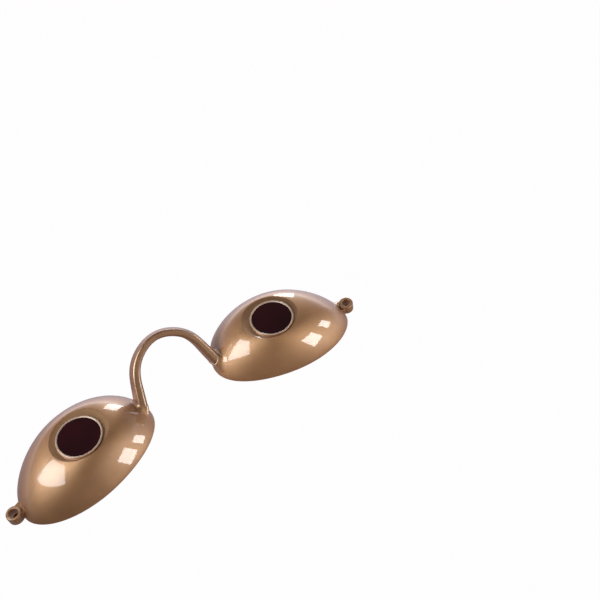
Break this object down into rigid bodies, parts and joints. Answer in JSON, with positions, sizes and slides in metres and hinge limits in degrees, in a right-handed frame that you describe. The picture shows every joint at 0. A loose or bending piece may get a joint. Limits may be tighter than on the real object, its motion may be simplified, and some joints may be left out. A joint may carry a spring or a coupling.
{
  "type": "tanning goggles",
  "caption": "Eye protection for sunbeds: opaque domed eyecups with dark round filter lenses and cord eyelets, joined by a slim arched flexible nose bridge.",
  "frame": {"origin": "middle of the bounding box's bottom: between the eyecups, in the plane of both rims", "axes": "+X towards the wearer's left across the pair, +Y towards the brow, +Z away from the face"},
  "size_m": [0.1482, 0.039, 0.0237],
  "materials": {
    "eyecup_shell": "rigid moulded plastic, glossy metallic pearl bronze",
    "filter_lens": "polished, almost opaque dark red ultraviolet filter",
    "bridge_strap": "flexible vinyl, satin metallic bronze"
  },
  "bodies": {
    "bridge": {"nose_bridge": "bridge_strap"},
    "left_cup": {"left_eyecup": "eyecup_shell", "left_lens": "filter_lens"},
    "right_cup": {"right_eyecup": "eyecup_shell", "right_lens": "filter_lens"}
  },
  "joints": [
    {"name": "left_cup_flex", "type": "hinge", "parent": "bridge", "child": "left_cup", "pos_m": [-0.01021, 0.00894, 0.01509], "axis": [0, 0.8415, -0.5402], "range_deg": [-35, 45], "stiffness_Nm_per_rad": 0.029, "deforming": ["nose_bridge"]},
    {"name": "right_cup_flex", "type": "hinge", "parent": "bridge", "child": "right_cup", "pos_m": [0.01021, 0.00894, 0.01509], "axis": [0, -0.8415, 0.5402], "range_deg": [-35, 45], "stiffness_Nm_per_rad": 0.029, "deforming": ["nose_bridge"]}
  ]
}
